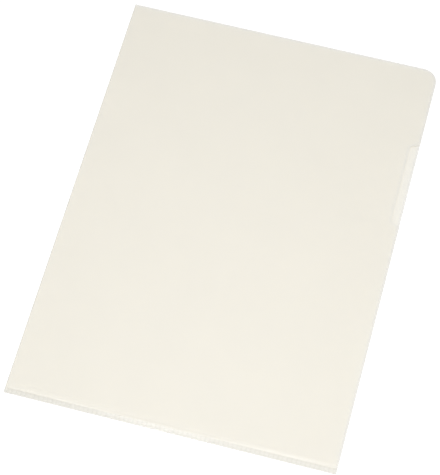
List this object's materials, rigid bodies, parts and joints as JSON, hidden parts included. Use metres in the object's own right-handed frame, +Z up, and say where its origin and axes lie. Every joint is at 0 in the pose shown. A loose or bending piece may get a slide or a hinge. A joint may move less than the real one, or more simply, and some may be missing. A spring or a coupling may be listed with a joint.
{
  "type": "l-shaped folder",
  "caption": "Flat translucent film document folder, folded down one long side and rib-welded along its foot, open at top and right, with a thumb notch and a rounded corner that lifts.",
  "frame": {"origin": "middle of the folder's underside, on the surface that it lies on", "axes": "+X from the folded side to the open side, +Y from the welded foot to the open top, +Z up through the leaves"},
  "size_m": [0.22, 0.31, 0.001],
  "materials": {
    "back_film": "satin",
    "front_film": "satin",
    "folded_film": "satin",
    "welded_film": "satin"
  },
  "bodies": {
    "pocket": {"back_leaf": "back_film", "foot_rise": "front_film", "front_leaf": "front_film", "spine_fold": "folded_film", "weld_seam": "welded_film"},
    "corner": {"free_corner": "front_film"}
  },
  "joints": [
    {"name": "corner_lift", "type": "hinge", "parent": "pocket", "child": "corner", "pos_m": [0.0035, 0.0076, 0.001], "axis": [0.5857, -0.8106, 0], "range_deg": [0, 90], "stiffness_Nm_per_rad": 0.004}
  ]
}
